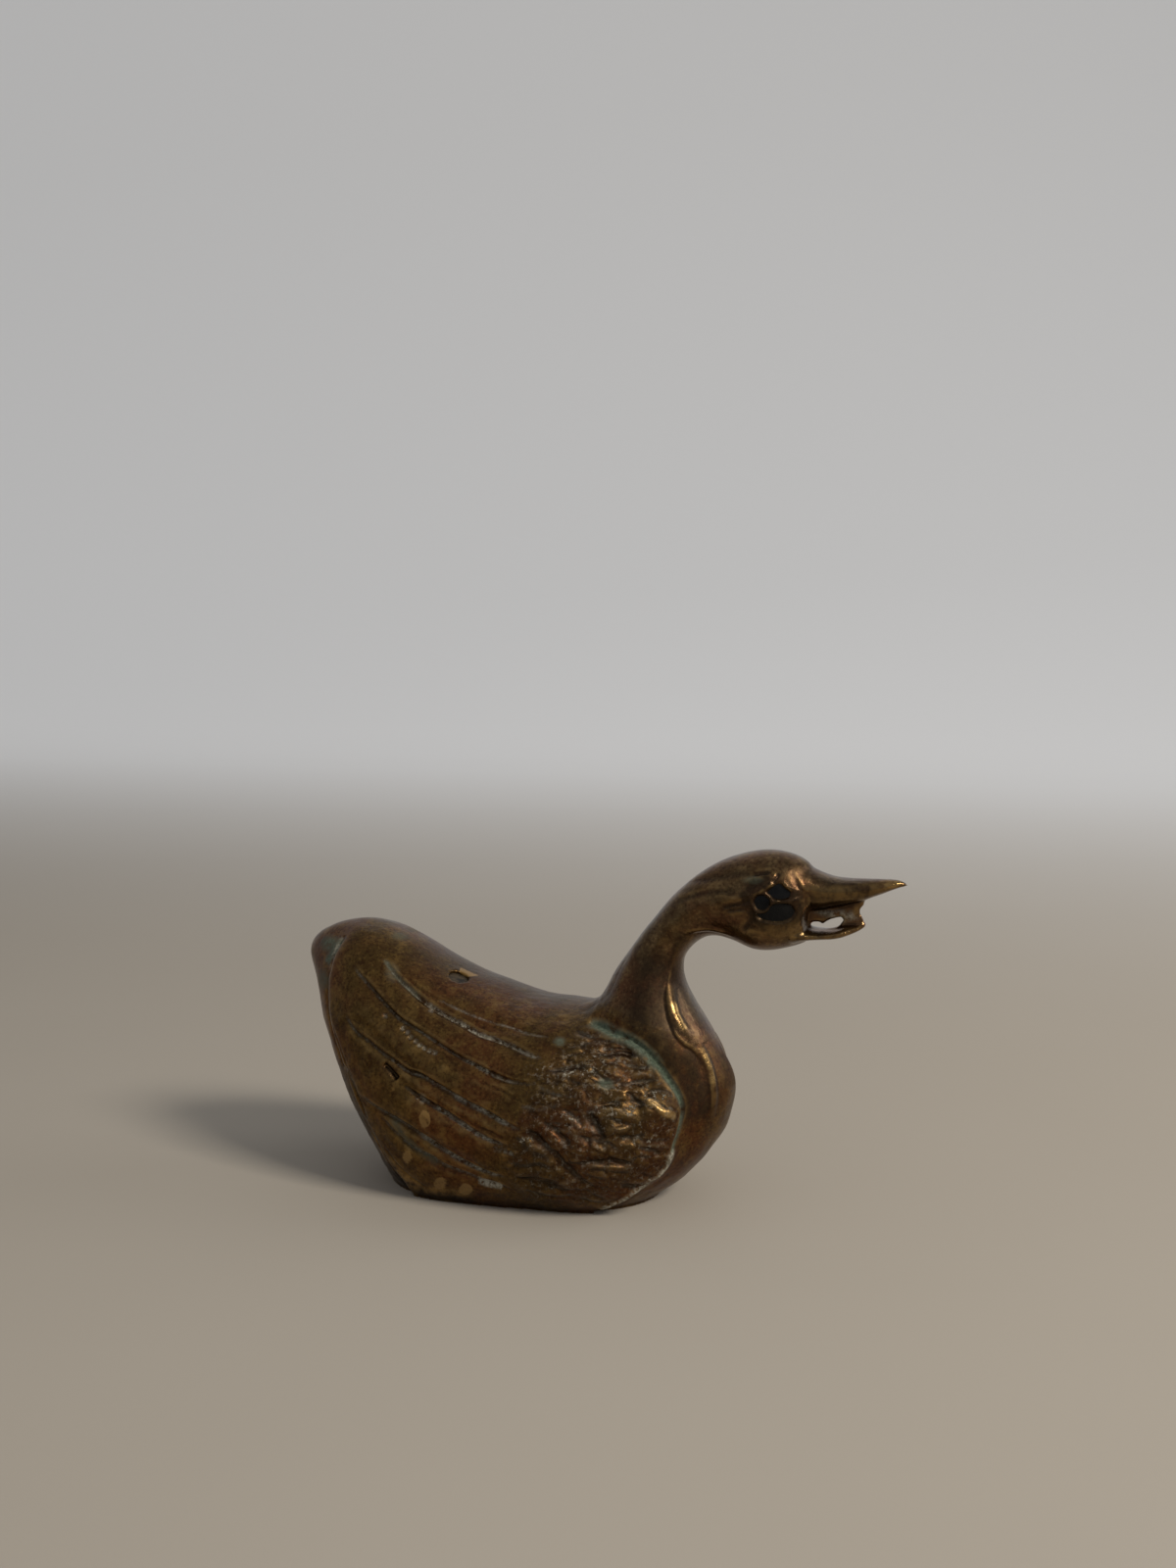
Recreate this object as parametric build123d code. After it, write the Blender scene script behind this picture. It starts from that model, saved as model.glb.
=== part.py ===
from build123d import *
import os
from math import atan2, cos, pi, sin

# The duck faces +X and stands on its flat base at z = 0. Sizes are in millimetres.
# Overall sizes of the two castings
duck_length = 76.0
body_length = 55.8
body_width = 27.0
crown_height = 43.1
head_width = 10.0
bill_height = 4.4
bill_width = 6.6

# Walls and reliefs
wall = 2.2
base_flange = 1.4
wing_rise = 1.1
wing_lift = 0.3
feather_groove_depth = 0.5
feather_groove_width = 0.9
feather_notch_width = 1.3
web_thickness = 0.7

# Joint between the two castings
spigot_radius = 2.6
spigot_length = 4.6
spigot_clearance = 0.08
braze_depth = 0.9
braze_width = 0.7

# Core pin plug in the back
plug_radius = 1.25
plug_sink = 0.45
plug_lean = 12.0
plug_pitch = 27.0

# Eye inlays
eye_length = 5.8
eye_height = 5.2
eye_depth = 2.2

# Heights of the tail and of the neck's foot, as shares of the crown's height, and the neck's
# reach, as a share of its rise
tail_height_share = 0.7425
neck_foot_height_share = 0.5638
neck_reach_share = 1.3883

# Places of the neck's foot behind the breast, of the gape above the foot and of the joint between
# the first ribs of the neck, as shares of the body's length, the neck's rise and the ribs' distance
foot_x_share = 0.302
gape_share = 0.645
joint_share = 0.3

# Number of steps along each side of a rib's oval
rib_steps = 6

tail_x = -duck_length / 2
bill_x = duck_length / 2
breast_x = tail_x + body_length
foot_x = breast_x - foot_x_share * body_length
tail_height = tail_height_share * crown_height
neck_foot_height = neck_foot_height_share * crown_height
neck_rise = crown_height - neck_foot_height
neck_reach = neck_reach_share * neck_rise
half_body = body_width / 2
half_head = head_width / 2

# Ribs of the body, from the tail to the breast: the top point and the bottom point, as shares
# of the body's length from the tail and of the tail's height, then the half width, as a share
# of the body's half width.
body_rib_shares = [
    (0.000, 0.850, 0.151, 0.200, 0.11),
    (0.018, 0.932, 0.184, 0.100, 0.36),
    (0.062, 0.974, 0.227, -0.030, 0.57),
    (0.140, 1.000, 0.285, -0.150, 0.76),
    (0.240, 0.950, 0.345, -0.190, 0.89),
    (0.365, 0.834, 0.435, -0.160, 0.96),
    (0.505, 0.752, 0.545, -0.115, 1.00),
    (0.635, 0.722, 0.655, -0.095, 0.99),
    (0.755, 0.690, 0.745, -0.075, 0.93),
    (0.850, 0.630, 0.830, -0.005, 0.79),
    (0.925, 0.595, 0.898, 0.100, 0.59),
    (0.975, 0.550, 0.955, 0.210, 0.36),
    (1.000, 0.480, 0.992, 0.300, 0.12),
]

# Ribs of the neck and head, from the root inside the body to the face: the back point and the
# front point, as shares of the neck's reach from its foot and of its rise above the foot, then
# the half width, as a share of the head's half width. The second rib lies in the joint.
neck_rib_shares = [
    (-0.060, -0.400, 0.630, -0.490, 1.72),
    (-0.012, -0.040, 0.590, -0.310, 1.50),
    (0.070, 0.135, 0.460, -0.005, 1.04),
    (0.146, 0.300, 0.402, 0.185, 0.80),
    (0.250, 0.495, 0.425, 0.312, 0.72),
    (0.388, 0.718, 0.517, 0.425, 0.78),
    (0.586, 0.920, 0.640, 0.420, 0.90),
    (0.782, 1.000, 0.778, 0.378, 1.00),
    (0.916, 0.978, 0.900, 0.404, 0.92),
    (0.994, 0.915, 0.974, 0.442, 0.66),
]

# Ribs of the two halves of the bill, from inside the head to the tip: the top point and the
# bottom point, as shares of the bill's length from its root and of its height above the gape,
# then the half width, as a share of the bill's half width.
upper_bill_rib_shares = [
    (-0.180, 1.200, -0.180, 0.020, 1.12),
    (0.036, 1.045, 0.000, 0.090, 0.98),
    (0.236, 0.875, 0.200, 0.170, 0.82),
    (0.500, 0.840, 0.473, 0.320, 0.62),
    (0.764, 0.865, 0.755, 0.510, 0.41),
    (0.927, 0.845, 0.927, 0.650, 0.21),
    (1.000, 0.750, 1.000, 0.695, 0.06),
]
lower_bill_rib_shares = [
    (-0.180, -0.300, -0.180, -0.920, 1.03),
    (0.036, -0.500, 0.036, -0.785, 0.80),
    (0.236, -0.490, 0.255, -0.740, 0.61),
    (0.420, -0.435, 0.436, -0.650, 0.40),
    (0.563, -0.330, 0.568, -0.425, 0.11),
]

# Web between the halves of the bill, with its hollow front edge and its uneven window, as
# shares of the bill's length from its root and of its height above the gape.
web_shares = [
    (-0.100, -0.600),
    (0.436, -0.560),
    (0.555, -0.400),
    (0.530, -0.250),
    (0.497, -0.080),
    (0.488, 0.080),
    (0.545, 0.400),
    (0.580, 0.600),
    (-0.100, 0.350),
]
window_shares = [
    (-0.010, -0.360),
    (-0.004, -0.590),
    (0.040, -0.530),
    (0.145, -0.500),
    (0.262, -0.455),
    (0.365, -0.365),
    (0.410, -0.295),
    (0.380, -0.200),
    (0.292, -0.205),
    (0.203, -0.260),
    (0.145, -0.345),
    (0.114, -0.420),
    (0.092, -0.345),
]

# Front and rear edge of a wing in the side view, from over the back to under the floor, as
# shares of the body's length from the tail and of the tail's height.
wing_front_shares = [
    (0.650, 0.860),
    (0.668, 0.755),
    (0.706, 0.715),
    (0.778, 0.688),
    (0.862, 0.600),
    (0.905, 0.500),
    (0.923, 0.380),
    (0.910, 0.275),
    (0.870, 0.150),
    (0.805, 0.066),
    (0.731, 0.003),
    (0.665, -0.060),
]
wing_rear_shares = [
    (0.160, 1.150),
    (0.145, 1.000),
    (0.112, 0.920),
    (0.100, 0.840),
    (0.112, 0.740),
    (0.145, 0.590),
    (0.178, 0.470),
    (0.212, 0.340),
    (0.245, 0.220),
    (0.285, 0.110),
    (0.325, 0.020),
    (0.345, -0.060),
]

# Grooves between the long feathers of a wing and notches between the short feathers in front of
# them, in the same shares
long_feather_shares = [
    [(0.238, 0.866), (0.357, 0.750), (0.505, 0.637), (0.627, 0.584)],
    [(0.296, 0.816), (0.425, 0.712), (0.541, 0.666), (0.609, 0.650)],
    [(0.163, 0.840), (0.267, 0.719), (0.401, 0.584), (0.550, 0.519), (0.625, 0.512)],
    [(0.163, 0.709), (0.283, 0.594), (0.403, 0.472), (0.539, 0.387), (0.584, 0.359)],
    [(0.276, 0.547), (0.371, 0.431), (0.496, 0.344), (0.573, 0.303)],
    [(0.238, 0.369), (0.344, 0.309), (0.470, 0.206), (0.563, 0.166)],
    [(0.292, 0.312), (0.376, 0.203), (0.466, 0.144), (0.563, 0.112)],
]
short_feather_shares = [
    [(0.657, 0.556), (0.707, 0.574), (0.744, 0.562)],
    [(0.736, 0.614), (0.779, 0.613), (0.826, 0.595)],
    [(0.750, 0.545), (0.772, 0.530), (0.801, 0.531)],
    [(0.805, 0.517), (0.829, 0.514), (0.867, 0.522)],
    [(0.817, 0.488), (0.834, 0.465), (0.852, 0.439)],
    [(0.852, 0.476), (0.876, 0.489), (0.905, 0.463)],
    [(0.743, 0.425), (0.761, 0.384), (0.783, 0.345)],
    [(0.750, 0.448), (0.794, 0.458), (0.858, 0.395)],
    [(0.795, 0.330), (0.828, 0.335), (0.861, 0.370)],
    [(0.689, 0.440), (0.714, 0.418), (0.735, 0.380)],
    [(0.650, 0.390), (0.684, 0.359), (0.710, 0.318)],
    [(0.728, 0.345), (0.755, 0.325), (0.785, 0.300)],
    [(0.843, 0.299), (0.868, 0.286), (0.891, 0.258)],
    [(0.720, 0.245), (0.771, 0.251), (0.841, 0.220)],
    [(0.675, 0.285), (0.700, 0.228), (0.735, 0.170)],
    [(0.615, 0.362), (0.642, 0.325), (0.665, 0.285)],
    [(0.590, 0.172), (0.645, 0.146), (0.700, 0.133)],
    [(0.790, 0.150), (0.820, 0.134), (0.850, 0.150)],
]

# Places of the eye on the head and of the core pin plug on the back
eye_x_share = 0.838
eye_z_share = 0.713
plug_x_share = 0.394
plug_y_share = -0.235
plug_z_share = 0.826


def between(start, end, share):
    """Point on the line from one (x, z) point to another."""
    return (start[0] + (end[0] - start[0]) * share, start[1] + (end[1] - start[1]) * share)


def rib_face(top, bottom, half_width):
    """Oval face of a rib, between its top point and its bottom point, both (x, z) pairs."""
    sides = []
    for start, end, side in ((top, bottom, 1), (bottom, top, -1)):
        points = []
        for step in range(rib_steps + 1):
            turn = pi * step / rib_steps
            x, z = between(start, end, (1 - cos(turn)) / 2)
            points.append((x, side * half_width * sin(turn), z))
        leaving = Vector(0, side * pi * half_width, 0)
        steps = [step / rib_steps for step in range(rib_steps + 1)]
        sides.append(
            Edge.make_spline(points, tangents=[leaving, -leaving], parameters=steps, scale=False)
        )
    return Face(Wire(sides))


def loft_ribs(ribs):
    return loft([rib_face(*rib) for rib in ribs])


def scaled_ribs(shares, start, size, half_width):
    """Ribs in millimetres, from shares of a size that starts at an (x, z) point."""
    ribs = []
    for top_x, top_z, bottom_x, bottom_z, half in shares:
        top = (start[0] + top_x * size[0], start[1] + top_z * size[1])
        bottom = (start[0] + bottom_x * size[0], start[1] + bottom_z * size[1])
        ribs.append((top, bottom, half * half_width))
    return ribs


body_ribs = scaled_ribs(body_rib_shares, (tail_x, 0), (body_length, tail_height), half_body)
neck_ribs = scaled_ribs(
    neck_rib_shares, (foot_x, neck_foot_height), (neck_reach, neck_rise), half_head
)
bill_root_x = foot_x + neck_reach
bill_length = bill_x - bill_root_x
gape_height = neck_foot_height + gape_share * neck_rise
bill_start = (bill_root_x, gape_height)
bill_size = (bill_length, bill_height)
upper_bill_ribs = scaled_ribs(upper_bill_rib_shares, bill_start, bill_size, bill_width / 2)
lower_bill_ribs = scaled_ribs(lower_bill_rib_shares, bill_start, bill_size, bill_width / 2)


def lifted_ribs(ribs, lift, widening):
    """Ribs with their top points raised, their bottom points lowered and their sides moved out."""
    moved = []
    for (top_x, top_z), (bottom_x, bottom_z), half in ribs:
        moved.append(((top_x, top_z + lift), (bottom_x, bottom_z - lift), half + widening))
    return moved


def below_floor(depth):
    """Block under the floor, wider than the duck."""
    return Pos(0, 0, -depth / 2) * Box(2 * duck_length, 4 * body_width, depth)


def side_prism(curves, half_depth):
    """Prism across the duck, from the curves of a closed outline in its side view."""
    edges = [edge for curve in curves for edge in curve.edges()]
    return extrude(Face(Wire(edges)), amount=half_depth, dir=(0, 1, 0), both=True)


def side_points(shares, start, size):
    """Points of a side view in millimetres, from shares of a size that starts at an (x, z) point."""
    return [(start[0] + x * size[0], 0, start[1] + z * size[1]) for x, z in shares]


# Joint plane between the castings, from the back of the neck's foot to the front
foot_rib, next_rib = neck_ribs[1], neck_ribs[2]
joint_top = between(foot_rib[0], next_rib[0], joint_share)
joint_bottom = between(foot_rib[1], next_rib[1], joint_share)
joint_half = foot_rib[2] + (next_rib[2] - foot_rib[2]) * joint_share
joint_tilt = atan2(joint_bottom[1] - joint_top[1], joint_bottom[0] - joint_top[0])
joint_x, joint_z = between(joint_top, joint_bottom, 1 / 2)
joint_plane = Plane(
    origin=(joint_x, 0, joint_z),
    x_dir=(cos(joint_tilt), 0, sin(joint_tilt)),
    z_dir=(-sin(joint_tilt), 0, cos(joint_tilt)),
)

# Outer forms of the body and of the neck, head and bill
plain_body = loft_ribs(body_ribs)
neck = loft_ribs(neck_ribs)
neck_root = split(neck, bisect_by=joint_plane, keep=Keep.BOTTOM)
neck_top = split(neck, bisect_by=joint_plane, keep=Keep.TOP)

# Wings, a raised skin over both sides of the body
body_start = (tail_x, 0)
body_size = (body_length, tail_height)
wing_front = side_points(wing_front_shares, body_start, body_size)
wing_rear = side_points(wing_rear_shares, body_start, body_size)
wing_prism = side_prism(
    [
        Spline(*wing_front),
        Line(wing_front[-1], wing_rear[-1]),
        Spline(*reversed(wing_rear)),
        Line(wing_rear[0], wing_front[0]),
    ],
    body_width,
)
wing_skin = loft_ribs(lifted_ribs(body_ribs, wing_lift, wing_rise)) & wing_prism

# Grooves and notches between the feathers, cut into the wings' skin
feather_lines = [(shares, feather_groove_width) for shares in long_feather_shares]
feather_lines += [(shares, feather_notch_width) for shares in short_feather_shares]
feather_prisms = []
for shares, width in feather_lines:
    line = side_points(shares, body_start, body_size)
    start, end = Vector(*line[0]), Vector(*line[-1])
    across = (end - start).normalized().rotate(Axis.Y, 90) * (width / 2)
    upper = [Vector(*point) + across for point in line[1:-1]]
    lower = [Vector(*point) - across for point in reversed(line[1:-1])]
    feather_prisms.append(side_prism([Spline(start, *upper, end), Spline(end, *lower, start)], body_width))
groove_floor = loft_ribs(lifted_ribs(body_ribs, wing_lift, wing_rise - feather_groove_depth))
feather_cuts = Part() + feather_prisms - groove_floor

# Cavity, open at the base, with a boss left for the spigot
cavity_ribs = []
for (top_x, top_z), (bottom_x, bottom_z), half in body_ribs[2:-2]:
    cavity_ribs.append(((top_x, top_z - wall), (bottom_x, bottom_z + base_flange), half - wall))
boss = joint_plane * Cylinder(
    spigot_radius + wall,
    spigot_length + wall,
    align=(Align.CENTER, Align.CENTER, Align.MAX),
)
cavity = loft_ribs(cavity_ribs) - boss

# Braze filler, a ring round the foot of the neck
land_top = (joint_top[0] + braze_depth * cos(joint_tilt), joint_top[1] + braze_depth * sin(joint_tilt))
land_bottom = (
    joint_bottom[0] - braze_depth * cos(joint_tilt),
    joint_bottom[1] - braze_depth * sin(joint_tilt),
)
land = rib_face(land_top, land_bottom, joint_half - braze_depth)
braze_core = extrude(land, amount=braze_width, both=True)
braze_slab = joint_plane * Box(2 * duck_length, 2 * body_width, braze_width)
braze_ring = (neck & braze_slab) - braze_core

# Core pin plug, in a hole through the back
plug_place = (
    Pos(tail_x + plug_x_share * body_length, plug_y_share * half_body, plug_z_share * tail_height)
    * Rot(plug_lean, plug_pitch, 0)
)
plug_hole = plug_place * Cylinder(plug_radius, 4 * wall)

outer_body = plain_body + wing_skin + neck_root
shell = outer_body - cavity - below_floor(tail_height)
sunk_body = Pos(0, 0, -plug_sink) * outer_body
core_pin_plug = (plug_hole & shell) & sunk_body
socket = joint_plane * Cylinder(
    spigot_radius + spigot_clearance,
    spigot_length + spigot_clearance,
    align=(Align.CENTER, Align.CENTER, Align.MAX),
)
body_shell = shell - plug_hole - socket - braze_ring - feather_cuts

# Head, open bill and the web between the two halves of the bill
web_outline = side_points(web_shares, bill_start, bill_size)
window_outline = side_points(window_shares, bill_start, bill_size)
web = side_prism([Polyline(*web_outline, close=True)], web_thickness / 2)
window = side_prism([Polyline(*window_outline, close=True)], bill_width)
spigot = joint_plane * Cylinder(
    spigot_radius,
    spigot_length,
    align=(Align.CENTER, Align.CENTER, Align.MAX),
)
head = neck_top + loft_ribs(upper_bill_ribs) + loft_ribs(lower_bill_ribs) + (web - window)

# Eye inlays, almonds that follow the side of the head
eye_x = foot_x + eye_x_share * neck_reach
eye_z = neck_foot_height + eye_z_share * neck_rise
eye_back = (eye_x - eye_length / 2, 0, eye_z)
eye_front = (eye_x + eye_length / 2, 0, eye_z)
eye_face = Face(
    Wire(
        [
            ThreePointArc(eye_back, (eye_x, 0, eye_z + eye_height / 2), eye_front),
            ThreePointArc(eye_front, (eye_x, 0, eye_z - eye_height / 2), eye_back),
        ]
    )
)
eye_seat = half_head - eye_depth
eye_plug = Pos(0, eye_seat, 0) * extrude(eye_face, amount=body_width, dir=(0, 1, 0))
eye_left = head & eye_plug
eye_right = head & mirror(eye_plug, about=Plane.XZ)
neck_and_head = head - eye_plug - mirror(eye_plug, about=Plane.XZ) - outer_body - braze_ring + spigot

os.makedirs("parts", exist_ok=True)
nodes = {
    "body_shell": body_shell,
    "neck_and_head": neck_and_head,
    "neck_braze_ring": braze_ring,
    "core_pin_plug": core_pin_plug,
    "eye_left": eye_left,
    "eye_right": eye_right,
}
for name, shape in nodes.items():
    export_step(shape, f"parts/{name}.step")
    print(name, len(shape.solids()), round(shape.volume, 1), shape.is_valid)
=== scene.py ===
from math import cos, radians, sin

import bmesh
import bpy
import numpy as np
from mathutils import Euler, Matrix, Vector, noise
from mathutils.bvhtree import BVHTree


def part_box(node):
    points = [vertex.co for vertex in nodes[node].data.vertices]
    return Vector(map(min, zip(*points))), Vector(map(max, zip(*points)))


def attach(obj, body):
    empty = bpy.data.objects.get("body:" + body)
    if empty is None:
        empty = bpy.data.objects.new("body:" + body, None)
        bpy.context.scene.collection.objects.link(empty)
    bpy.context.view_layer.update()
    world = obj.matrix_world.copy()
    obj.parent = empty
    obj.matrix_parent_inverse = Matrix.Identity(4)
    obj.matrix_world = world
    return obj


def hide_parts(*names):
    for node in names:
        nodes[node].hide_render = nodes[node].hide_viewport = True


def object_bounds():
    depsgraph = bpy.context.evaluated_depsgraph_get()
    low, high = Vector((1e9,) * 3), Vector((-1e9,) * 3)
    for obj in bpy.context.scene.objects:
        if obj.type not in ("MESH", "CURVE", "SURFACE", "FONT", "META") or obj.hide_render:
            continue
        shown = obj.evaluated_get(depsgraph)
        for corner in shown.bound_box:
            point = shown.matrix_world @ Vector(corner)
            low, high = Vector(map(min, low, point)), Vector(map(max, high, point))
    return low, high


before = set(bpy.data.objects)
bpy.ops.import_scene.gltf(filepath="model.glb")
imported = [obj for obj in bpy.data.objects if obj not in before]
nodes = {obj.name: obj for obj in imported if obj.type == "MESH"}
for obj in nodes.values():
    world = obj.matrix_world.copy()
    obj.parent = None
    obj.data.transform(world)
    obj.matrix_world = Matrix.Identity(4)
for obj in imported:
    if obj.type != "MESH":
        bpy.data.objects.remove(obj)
cad_low, cad_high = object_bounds()

MM = 0.001
X, Y, Z = 0, 1, 2
# The photograph and the camera that took it, in mm
IMAGE_WIDTH = 1200
IMAGE_HEIGHT = 1600
FOCAL_PX = 1500
CAMERA_MM = (51.682, -170.361, 67.382)
CAMERA_TURN = Euler((radians(84.5), 0, radians(17)))
SENSOR_MM = 36.0
# Size of a pixel of the photograph on the duck, in mm
PIXEL_MM = 0.13
# Far side of a point or a direction on the near side
MIRROR = np.array([1.0, -1.0, 1.0])
NEAR, FAR = 1, -1

# Curves and patches read off the photograph, in its pixels. Widths and depths beside them are in mm.

# Grooves between the long feathers
LONG_FEATHERS = [
    [(392, 978), (402, 992), (412, 1003), (430, 1019), (446, 1030), (462, 1039), (478, 1048), (490, 1055),
     (505, 1060), (522, 1067), (538, 1075), (552, 1081)],
    [(361, 986), (368, 996), (380, 1010), (392, 1024), (408, 1040), (428, 1052), (440, 1060), (452, 1068),
     (470, 1080), (485, 1087), (500, 1095), (520, 1103), (545, 1107)],
    [(352, 1035), (357, 1045), (365, 1055), (375, 1062), (388, 1073), (400, 1081), (415, 1092), (430, 1098),
     (445, 1107), (460, 1116), (475, 1125), (490, 1132), (505, 1140), (520, 1149), (535, 1155)],
    [(412, 1108), (425, 1118), (440, 1127), (455, 1136), (470, 1146), (485, 1156), (500, 1164), (518, 1171)],
    [(368, 1118), (380, 1128), (395, 1137), (410, 1145), (425, 1155), (440, 1165), (455, 1175), (470, 1184),
     (485, 1192), (500, 1198), (514, 1202)],
    [(388, 1140), (398, 1152), (410, 1163), (425, 1174), (440, 1181), (450, 1188), (462, 1193), (480, 1200),
     (490, 1204), (505, 1208), (520, 1214)],
]
# Finer lines beside them
FINE_LINES = [
    [(402, 985), (415, 998), (430, 1010), (448, 1020), (470, 1031), (490, 1039), (505, 1044), (516, 1047),
     (540, 1055), (560, 1058)],
    [(488, 1102), (500, 1108), (512, 1113), (524, 1120), (534, 1126)],
    [(484, 1150), (500, 1155), (514, 1163)],
    [(338, 1042), (344, 1062), (355, 1092), (370, 1124), (386, 1136)],
    [(392, 1170), (405, 1188), (420, 1202), (436, 1212)],
    [(380, 1155), (392, 1178), (406, 1198)],
]
# Front and rear edge of the wing, grooves with the wing's step behind them
WING_FRONT = [(600, 1043), (610, 1045), (624, 1053), (639, 1060), (653, 1069), (664, 1079), (674, 1090),
              (684, 1103), (694, 1118), (698, 1133), (694, 1155), (687, 1174), (681, 1190), (669, 1202),
              (650, 1216), (632, 1226), (605, 1237)]
WING_REAR = [(352, 954), (344, 966), (338, 980), (335, 1000), (335, 1025), (340, 1055), (350, 1085),
             (361, 1112), (374, 1142)]
# Chisel cuts of the short feathers: line, half width and depth
SHORT_CUTS = [
    ([(560, 1092), (575, 1090), (590, 1087), (603, 1088)], 0.45, 0.35),
    ([(603, 1088), (612, 1097), (622, 1103), (634, 1101)], 0.7, 0.5),
    ([(576, 1100), (588, 1104), (600, 1108)], 0.6, 0.3),
    ([(606, 1073), (620, 1075), (636, 1073), (650, 1079)], 0.5, 0.4),
    ([(612, 1071), (626, 1070), (642, 1071)], 0.35, 0.25),
    ([(586, 1049), (600, 1056), (613, 1063), (630, 1061)], 0.5, 0.3),
    ([(590, 1066), (604, 1064), (618, 1068)], 0.4, 0.2),
    ([(626, 1105), (640, 1106), (652, 1103), (669, 1101)], 0.55, 0.45),
    ([(636, 1086), (650, 1088), (664, 1090)], 0.45, 0.2),
    ([(640, 1114), (648, 1121), (657, 1128)], 0.55, 0.6),
    ([(657, 1117), (667, 1112), (679, 1113), (689, 1119)], 0.45, 0.3),
    ([(662, 1121), (671, 1126), (682, 1133)], 0.4, 0.3),
    ([(599, 1132), (606, 1143), (613, 1157), (618, 1163)], 1.0, 0.75),
    ([(598, 1132), (612, 1129), (624, 1125), (634, 1126)], 0.5, 0.3),
    ([(612, 1140), (626, 1142), (640, 1147), (650, 1150)], 0.6, 0.35),
    ([(632, 1160), (646, 1160), (660, 1156)], 0.5, 0.3),
    ([(594, 1134), (600, 1146), (608, 1160)], 0.7, 0.4),
    ([(572, 1131), (582, 1136), (592, 1146), (596, 1151)], 0.5, 0.4),
    ([(554, 1145), (566, 1151), (576, 1161), (584, 1169)], 0.55, 0.45),
    ([(560, 1146), (576, 1147), (594, 1149)], 0.4, 0.25),
    ([(588, 1157), (598, 1162), (610, 1164), (622, 1167), (634, 1177)], 0.5, 0.4),
    ([(612, 1173), (622, 1169), (631, 1173)], 0.4, 0.3),
    ([(648, 1160), (660, 1164), (672, 1163), (684, 1164)], 0.45, 0.3),
    ([(652, 1171), (664, 1173), (676, 1177)], 0.4, 0.3),
    ([(575, 1186), (590, 1187), (606, 1185), (624, 1183), (640, 1186), (650, 1191)], 0.5, 0.4),
    ([(596, 1190), (612, 1193), (628, 1196), (646, 1196)], 0.4, 0.3),
    ([(592, 1193), (604, 1200), (620, 1203)], 0.4, 0.25),
    ([(562, 1172), (574, 1184), (586, 1197), (600, 1208)], 0.7, 0.5),
    ([(538, 1152), (548, 1160), (558, 1170), (566, 1178)], 0.8, 0.5),
    ([(526, 1160), (534, 1166), (540, 1175)], 0.5, 0.35),
    ([(540, 1176), (552, 1178), (562, 1185)], 0.45, 0.3),
    ([(520, 1186), (534, 1190), (550, 1187), (562, 1192)], 0.5, 0.3),
    ([(528, 1200), (544, 1203), (560, 1207), (574, 1214), (592, 1213)], 0.55, 0.4),
    ([(534, 1214), (552, 1219), (570, 1221), (586, 1219)], 0.45, 0.3),
    ([(596, 1211), (606, 1219), (618, 1223)], 0.4, 0.3),
    ([(592, 1222), (604, 1226), (614, 1227)], 0.35, 0.25),
    ([(634, 1209), (648, 1211), (658, 1208), (668, 1203)], 0.45, 0.35),
    ([(640, 1186), (652, 1180), (664, 1181)], 0.4, 0.2),
    ([(530, 1128), (545, 1132), (560, 1130), (572, 1126)], 0.5, 0.2),
    ([(548, 1108), (560, 1114), (575, 1118), (590, 1118)], 0.5, 0.2),
]
# Raised edges between the cuts: line, half width and height
SHORT_RIDGES = [
    ([(604, 1076), (618, 1080), (634, 1079), (650, 1084)], 0.55, 0.22),
    ([(644, 1099), (656, 1095), (668, 1099)], 0.5, 0.25),
    ([(658, 1120), (668, 1128), (678, 1136), (691, 1140)], 0.6, 0.4),
    ([(603, 1136), (616, 1132), (630, 1133), (646, 1140)], 0.7, 0.35),
    ([(616, 1152), (632, 1153), (646, 1148)], 0.5, 0.25),
    ([(576, 1139), (586, 1143), (592, 1152)], 0.5, 0.28),
    ([(570, 1153), (584, 1157), (596, 1168)], 0.6, 0.22),
    ([(650, 1167), (664, 1168), (680, 1170)], 0.5, 0.25),
    ([(592, 1190), (610, 1189), (632, 1191), (646, 1190)], 0.35, 0.22),
    ([(586, 1058), (602, 1060), (622, 1057)], 0.6, 0.25),
    ([(562, 1096), (580, 1096), (598, 1096)], 0.5, 0.2),
    ([(606, 1106), (618, 1110), (630, 1110)], 0.6, 0.2),
    ([(566, 1208), (580, 1206), (594, 1204)], 0.5, 0.2),
    ([(638, 1206), (652, 1206), (664, 1200)], 0.45, 0.25),
    ([(536, 1170), (550, 1170), (560, 1176)], 0.5, 0.2),
]
# Neck: edge between the rough side and the polished front, middle of that front, and creases
NECK_EDGE = [(698, 952), (691, 965), (684, 985), (680, 1005), (679, 1022), (682, 1040), (688, 1055),
             (697, 1066), (707, 1072), (714, 1081), (717, 1092), (719, 1106), (722, 1122)]
NECK_STRIP = [(708, 960), (697, 976), (692, 996), (693, 1016), (698, 1036), (706, 1052), (716, 1064),
              (726, 1080), (732, 1100), (736, 1122), (735, 1146), (724, 1166)]
BACK_CREASE = [(646, 966), (636, 982), (628, 998), (620, 1014), (604, 1027), (588, 1036)]
JOINT_CREASE = [(708, 1067), (716, 1067), (724, 1063)]
THROAT_FACET = [(697, 952), (708, 949), (722, 948), (736, 951), (750, 956)]
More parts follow.
